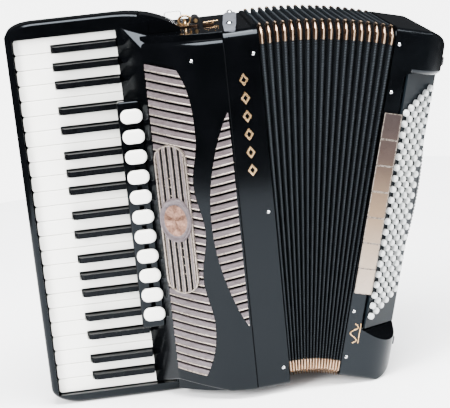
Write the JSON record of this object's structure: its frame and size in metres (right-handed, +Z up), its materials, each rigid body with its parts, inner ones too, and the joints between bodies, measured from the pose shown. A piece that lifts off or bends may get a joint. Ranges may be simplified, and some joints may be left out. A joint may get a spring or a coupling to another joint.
{
  "type": "piano accordion",
  "caption": "Full-size piano accordion with a curved louvred treble grille, spring-loaded piano keys, a bass button board and bellows that open like a fan.",
  "frame": {"origin": "under the middle of the whole object, on the floor plane that the keyboard frame's lower cheek stands on", "axes": "+Z up along the keyboard, +X from the treble keyboard to the bass side, +Y from the grille to the player's chest"},
  "size_m": [0.5498, 0.205, 0.5044],
  "materials": {
    "black_lacquer": "high gloss black lacquer",
    "black_plastic": "high gloss black celluloid cover",
    "louvre_metal": "satin taupe silver",
    "white_key": "polished white celluloid",
    "black_key": "polished black",
    "steel": "bright drawn",
    "reed_wood": "planed spruce",
    "bellows_cloth": "black embossed bellows cloth on card, gilt corners",
    "button_board": "slate grey satin",
    "pearl": "pearly white",
    "champagne_metal": "polished champagne",
    "strap_leather": "black padded leather"
  },
  "bodies": {
    "treble": {"treble_case": "black_lacquer", "treble_grille": "black_plastic", "grille_louvres": "louvre_metal", "keyboard_frame": "black_lacquer", "key_axle": "steel", "register_board": "black_plastic", "treble_reed_blocks": "reed_wood"},
    "bass": {"bass_case": "black_lacquer", "bass_button_board": "button_board", "bass_reed_blocks": "reed_wood", "bass_strap": "strap_leather"},
    "coupler_switches": {"treble_registers": "white_key"},
    "bass_buttons": {"bass_buttons": "pearl"},
    "bass_registers": {"bass_registers": "champagne_metal"},
    "air_button": {"air_button": "pearl"},
    "bellows_frame_1": {"bellows_frame_1": "bellows_cloth"},
    "bellows_frame_2": {"bellows_frame_2": "bellows_cloth"},
    "bellows_frame_3": {"bellows_frame_3": "bellows_cloth"},
    "bellows_frame_4": {"bellows_frame_4": "bellows_cloth"},
    "white_key_01": {"white_key_01": "white_key"},
    "white_key_02": {"white_key_02": "white_key"},
    "white_key_03": {"white_key_03": "white_key"},
    "white_key_04": {"white_key_04": "white_key"},
    "white_key_05": {"white_key_05": "white_key"},
    "white_key_06": {"white_key_06": "white_key"},
    "white_key_07": {"white_key_07": "white_key"},
    "white_key_08": {"white_key_08": "white_key"},
    "white_key_09": {"white_key_09": "white_key"},
    "white_key_10": {"white_key_10": "white_key"},
    "white_key_11": {"white_key_11": "white_key"},
    "white_key_12": {"white_key_12": "white_key"},
    "white_key_13": {"white_key_13": "white_key"},
    "white_key_14": {"white_key_14": "white_key"},
    "white_key_15": {"white_key_15": "white_key"},
    "white_key_16": {"white_key_16": "white_key"},
    "white_key_17": {"white_key_17": "white_key"},
    "white_key_18": {"white_key_18": "white_key"},
    "white_key_19": {"white_key_19": "white_key"},
    "white_key_20": {"white_key_20": "white_key"},
    "white_key_21": {"white_key_21": "white_key"},
    "white_key_22": {"white_key_22": "white_key"},
    "white_key_23": {"white_key_23": "white_key"},
    "white_key_24": {"white_key_24": "white_key"},
    "black_key_01": {"black_key_01": "black_key"},
    "black_key_02": {"black_key_02": "black_key"},
    "black_key_03": {"black_key_03": "black_key"},
    "black_key_04": {"black_key_04": "black_key"},
    "black_key_05": {"black_key_05": "black_key"},
    "black_key_06": {"black_key_06": "black_key"},
    "black_key_07": {"black_key_07": "black_key"},
    "black_key_08": {"black_key_08": "black_key"},
    "black_key_09": {"black_key_09": "black_key"},
    "black_key_10": {"black_key_10": "black_key"},
    "black_key_11": {"black_key_11": "black_key"},
    "black_key_12": {"black_key_12": "black_key"},
    "black_key_13": {"black_key_13": "black_key"},
    "black_key_14": {"black_key_14": "black_key"},
    "black_key_15": {"black_key_15": "black_key"},
    "black_key_16": {"black_key_16": "black_key"},
    "black_key_17": {"black_key_17": "black_key"}
  },
  "joints": [
    {"name": "bellows_fan", "type": "hinge", "parent": "treble", "child": "bass", "pos_m": [0.0659, 0, 0.0109], "axis": [0, 1, 0], "range_deg": [-14, 16]},
    {"name": "bellows_turn_1", "type": "hinge", "parent": "treble", "child": "bellows_frame_1", "pos_m": [0.0659, 0, 0.0109], "axis": [0, 1, 0], "range_deg": [-1.8, 2.05]},
    {"name": "bellows_turn_2", "type": "hinge", "parent": "treble", "child": "bellows_frame_2", "pos_m": [0.0659, 0, 0.0109], "axis": [0, 1, 0], "range_deg": [-5.3, 6.05]},
    {"name": "bellows_turn_3", "type": "hinge", "parent": "treble", "child": "bellows_frame_3", "pos_m": [0.0659, 0, 0.0109], "axis": [0, 1, 0], "range_deg": [-8.8, 10.05]},
    {"name": "bellows_turn_4", "type": "hinge", "parent": "treble", "child": "bellows_frame_4", "pos_m": [0.0659, 0, 0.0109], "axis": [0, 1, 0], "range_deg": [-12.3, 14.05]},
    {"name": "coupler_press", "type": "slide", "parent": "treble", "child": "coupler_switches", "axis": [0, 1, 0], "range_m": [0, 0.0025], "stiffness_N_per_m": 300, "springref_m": -0.004},
    {"name": "bass_button_press", "type": "slide", "parent": "bass", "child": "bass_buttons", "axis": [-0.7188, 0.6717, 0.1792], "range_m": [0, 0.003], "stiffness_N_per_m": 400, "springref_m": -0.004},
    {"name": "bass_register_press", "type": "slide", "parent": "bass", "child": "bass_registers", "axis": [0, 1, 0], "range_m": [0, 0.002], "stiffness_N_per_m": 400, "springref_m": -0.004},
    {"name": "air_button_press", "type": "slide", "parent": "bass", "child": "air_button", "axis": [-0.9703, 0, 0.2419], "range_m": [0, 0.004], "stiffness_N_per_m": 200, "springref_m": -0.004},
    {"name": "key_white_01", "type": "hinge", "parent": "treble", "child": "white_key_01", "pos_m": [-0.1169, -0.0235, 0.2494], "axis": [0, 0, -1], "range_deg": [0, 1.9], "stiffness_Nm_per_rad": 1, "springref_deg": -6.3},
    {"name": "key_white_02", "type": "hinge", "parent": "treble", "child": "white_key_02", "pos_m": [-0.1169, -0.0235, 0.2494], "axis": [0, 0, -1], "range_deg": [0, 1.9], "stiffness_Nm_per_rad": 1, "springref_deg": -6.3},
    {"name": "key_white_03", "type": "hinge", "parent": "treble", "child": "white_key_03", "pos_m": [-0.1169, -0.0235, 0.2494], "axis": [0, 0, -1], "range_deg": [0, 1.9], "stiffness_Nm_per_rad": 1, "springref_deg": -6.3},
    {"name": "key_white_04", "type": "hinge", "parent": "treble", "child": "white_key_04", "pos_m": [-0.1169, -0.0235, 0.2494], "axis": [0, 0, -1], "range_deg": [0, 1.9], "stiffness_Nm_per_rad": 1, "springref_deg": -6.3},
    {"name": "key_white_05", "type": "hinge", "parent": "treble", "child": "white_key_05", "pos_m": [-0.1169, -0.0235, 0.2494], "axis": [0, 0, -1], "range_deg": [0, 1.9], "stiffness_Nm_per_rad": 1, "springref_deg": -6.3},
    {"name": "key_white_06", "type": "hinge", "parent": "treble", "child": "white_key_06", "pos_m": [-0.1169, -0.0235, 0.2494], "axis": [0, 0, -1], "range_deg": [0, 1.9], "stiffness_Nm_per_rad": 1, "springref_deg": -6.3},
    {"name": "key_white_07", "type": "hinge", "parent": "treble", "child": "white_key_07", "pos_m": [-0.1169, -0.0235, 0.2494], "axis": [0, 0, -1], "range_deg": [0, 1.9], "stiffness_Nm_per_rad": 1, "springref_deg": -6.3},
    {"name": "key_white_08", "type": "hinge", "parent": "treble", "child": "white_key_08", "pos_m": [-0.1169, -0.0235, 0.2494], "axis": [0, 0, -1], "range_deg": [0, 1.9], "stiffness_Nm_per_rad": 1, "springref_deg": -6.3},
    {"name": "key_white_09", "type": "hinge", "parent": "treble", "child": "white_key_09", "pos_m": [-0.1169, -0.0235, 0.2494], "axis": [0, 0, -1], "range_deg": [0, 1.9], "stiffness_Nm_per_rad": 1, "springref_deg": -6.3},
    {"name": "key_white_10", "type": "hinge", "parent": "treble", "child": "white_key_10", "pos_m": [-0.1169, -0.0235, 0.2494], "axis": [0, 0, -1], "range_deg": [0, 1.9], "stiffness_Nm_per_rad": 1, "springref_deg": -6.3},
    {"name": "key_white_11", "type": "hinge", "parent": "treble", "child": "white_key_11", "pos_m": [-0.1169, -0.0235, 0.2494], "axis": [0, 0, -1], "range_deg": [0, 1.9], "stiffness_Nm_per_rad": 1, "springref_deg": -6.3},
    {"name": "key_white_12", "type": "hinge", "parent": "treble", "child": "white_key_12", "pos_m": [-0.1169, -0.0235, 0.2494], "axis": [0, 0, -1], "range_deg": [0, 1.9], "stiffness_Nm_per_rad": 1, "springref_deg": -6.3},
    {"name": "key_white_13", "type": "hinge", "parent": "treble", "child": "white_key_13", "pos_m": [-0.1169, -0.0235, 0.2494], "axis": [0, 0, -1], "range_deg": [0, 1.9], "stiffness_Nm_per_rad": 1, "springref_deg": -6.3},
    {"name": "key_white_14", "type": "hinge", "parent": "treble", "child": "white_key_14", "pos_m": [-0.1169, -0.0235, 0.2494], "axis": [0, 0, -1], "range_deg": [0, 1.9], "stiffness_Nm_per_rad": 1, "springref_deg": -6.3},
    {"name": "key_white_15", "type": "hinge", "parent": "treble", "child": "white_key_15", "pos_m": [-0.1169, -0.0235, 0.2494], "axis": [0, 0, -1], "range_deg": [0, 1.9], "stiffness_Nm_per_rad": 1, "springref_deg": -6.3},
    {"name": "key_white_16", "type": "hinge", "parent": "treble", "child": "white_key_16", "pos_m": [-0.1169, -0.0235, 0.2494], "axis": [0, 0, -1], "range_deg": [0, 1.9], "stiffness_Nm_per_rad": 1, "springref_deg": -6.3},
    {"name": "key_white_17", "type": "hinge", "parent": "treble", "child": "white_key_17", "pos_m": [-0.1169, -0.0235, 0.2494], "axis": [0, 0, -1], "range_deg": [0, 1.9], "stiffness_Nm_per_rad": 1, "springref_deg": -6.3},
    {"name": "key_white_18", "type": "hinge", "parent": "treble", "child": "white_key_18", "pos_m": [-0.1169, -0.0235, 0.2494], "axis": [0, 0, -1], "range_deg": [0, 1.9], "stiffness_Nm_per_rad": 1, "springref_deg": -6.3},
    {"name": "key_white_19", "type": "hinge", "parent": "treble", "child": "white_key_19", "pos_m": [-0.1169, -0.0235, 0.2494], "axis": [0, 0, -1], "range_deg": [0, 1.9], "stiffness_Nm_per_rad": 1, "springref_deg": -6.3},
    {"name": "key_white_20", "type": "hinge", "parent": "treble", "child": "white_key_20", "pos_m": [-0.1169, -0.0235, 0.2494], "axis": [0, 0, -1], "range_deg": [0, 1.9], "stiffness_Nm_per_rad": 1, "springref_deg": -6.3},
    {"name": "key_white_21", "type": "hinge", "parent": "treble", "child": "white_key_21", "pos_m": [-0.1169, -0.0235, 0.2494], "axis": [0, 0, -1], "range_deg": [0, 1.9], "stiffness_Nm_per_rad": 1, "springref_deg": -6.3},
    {"name": "key_white_22", "type": "hinge", "parent": "treble", "child": "white_key_22", "pos_m": [-0.1169, -0.0235, 0.2494], "axis": [0, 0, -1], "range_deg": [0, 1.9], "stiffness_Nm_per_rad": 1, "springref_deg": -6.3},
    {"name": "key_white_23", "type": "hinge", "parent": "treble", "child": "white_key_23", "pos_m": [-0.1169, -0.0235, 0.2494], "axis": [0, 0, -1], "range_deg": [0, 1.9], "stiffness_Nm_per_rad": 1, "springref_deg": -6.3},
    {"name": "key_white_24", "type": "hinge", "parent": "treble", "child": "white_key_24", "pos_m": [-0.1169, -0.0235, 0.2494], "axis": [0, 0, -1], "range_deg": [0, 1.9], "stiffness_Nm_per_rad": 1, "springref_deg": -6.3},
    {"name": "key_black_01", "type": "hinge", "parent": "treble", "child": "black_key_01", "pos_m": [-0.1169, -0.0235, 0.2494], "axis": [0, 0, -1], "range_deg": [0, 2.1], "stiffness_Nm_per_rad": 1, "springref_deg": -6.3},
    {"name": "key_black_02", "type": "hinge", "parent": "treble", "child": "black_key_02", "pos_m": [-0.1169, -0.0235, 0.2494], "axis": [0, 0, -1], "range_deg": [0, 2.1], "stiffness_Nm_per_rad": 1, "springref_deg": -6.3},
    {"name": "key_black_03", "type": "hinge", "parent": "treble", "child": "black_key_03", "pos_m": [-0.1169, -0.0235, 0.2494], "axis": [0, 0, -1], "range_deg": [0, 2.1], "stiffness_Nm_per_rad": 1, "springref_deg": -6.3},
    {"name": "key_black_04", "type": "hinge", "parent": "treble", "child": "black_key_04", "pos_m": [-0.1169, -0.0235, 0.2494], "axis": [0, 0, -1], "range_deg": [0, 2.1], "stiffness_Nm_per_rad": 1, "springref_deg": -6.3},
    {"name": "key_black_05", "type": "hinge", "parent": "treble", "child": "black_key_05", "pos_m": [-0.1169, -0.0235, 0.2494], "axis": [0, 0, -1], "range_deg": [0, 2.1], "stiffness_Nm_per_rad": 1, "springref_deg": -6.3},
    {"name": "key_black_06", "type": "hinge", "parent": "treble", "child": "black_key_06", "pos_m": [-0.1169, -0.0235, 0.2494], "axis": [0, 0, -1], "range_deg": [0, 2.1], "stiffness_Nm_per_rad": 1, "springref_deg": -6.3},
    {"name": "key_black_07", "type": "hinge", "parent": "treble", "child": "black_key_07", "pos_m": [-0.1169, -0.0235, 0.2494], "axis": [0, 0, -1], "range_deg": [0, 2.1], "stiffness_Nm_per_rad": 1, "springref_deg": -6.3},
    {"name": "key_black_08", "type": "hinge", "parent": "treble", "child": "black_key_08", "pos_m": [-0.1169, -0.0235, 0.2494], "axis": [0, 0, -1], "range_deg": [0, 2.1], "stiffness_Nm_per_rad": 1, "springref_deg": -6.3},
    {"name": "key_black_09", "type": "hinge", "parent": "treble", "child": "black_key_09", "pos_m": [-0.1169, -0.0235, 0.2494], "axis": [0, 0, -1], "range_deg": [0, 2.1], "stiffness_Nm_per_rad": 1, "springref_deg": -6.3},
    {"name": "key_black_10", "type": "hinge", "parent": "treble", "child": "black_key_10", "pos_m": [-0.1169, -0.0235, 0.2494], "axis": [0, 0, -1], "range_deg": [0, 2.1], "stiffness_Nm_per_rad": 1, "springref_deg": -6.3},
    {"name": "key_black_11", "type": "hinge", "parent": "treble", "child": "black_key_11", "pos_m": [-0.1169, -0.0235, 0.2494], "axis": [0, 0, -1], "range_deg": [0, 2.1], "stiffness_Nm_per_rad": 1, "springref_deg": -6.3},
    {"name": "key_black_12", "type": "hinge", "parent": "treble", "child": "black_key_12", "pos_m": [-0.1169, -0.0235, 0.2494], "axis": [0, 0, -1], "range_deg": [0, 2.1], "stiffness_Nm_per_rad": 1, "springref_deg": -6.3},
    {"name": "key_black_13", "type": "hinge", "parent": "treble", "child": "black_key_13", "pos_m": [-0.1169, -0.0235, 0.2494], "axis": [0, 0, -1], "range_deg": [0, 2.1], "stiffness_Nm_per_rad": 1, "springref_deg": -6.3},
    {"name": "key_black_14", "type": "hinge", "parent": "treble", "child": "black_key_14", "pos_m": [-0.1169, -0.0235, 0.2494], "axis": [0, 0, -1], "range_deg": [0, 2.1], "stiffness_Nm_per_rad": 1, "springref_deg": -6.3},
    {"name": "key_black_15", "type": "hinge", "parent": "treble", "child": "black_key_15", "pos_m": [-0.1169, -0.0235, 0.2494], "axis": [0, 0, -1], "range_deg": [0, 2.1], "stiffness_Nm_per_rad": 1, "springref_deg": -6.3},
    {"name": "key_black_16", "type": "hinge", "parent": "treble", "child": "black_key_16", "pos_m": [-0.1169, -0.0235, 0.2494], "axis": [0, 0, -1], "range_deg": [0, 2.1], "stiffness_Nm_per_rad": 1, "springref_deg": -6.3},
    {"name": "key_black_17", "type": "hinge", "parent": "treble", "child": "black_key_17", "pos_m": [-0.1169, -0.0235, 0.2494], "axis": [0, 0, -1], "range_deg": [0, 2.1], "stiffness_Nm_per_rad": 1, "springref_deg": -6.3}
  ],
  "couplings": [
    {"joint": "bellows_turn_1", "follows": "bellows_fan", "ratio": 0.125},
    {"joint": "bellows_turn_2", "follows": "bellows_fan", "ratio": 0.375},
    {"joint": "bellows_turn_3", "follows": "bellows_fan", "ratio": 0.625},
    {"joint": "bellows_turn_4", "follows": "bellows_fan", "ratio": 0.875}
  ]
}
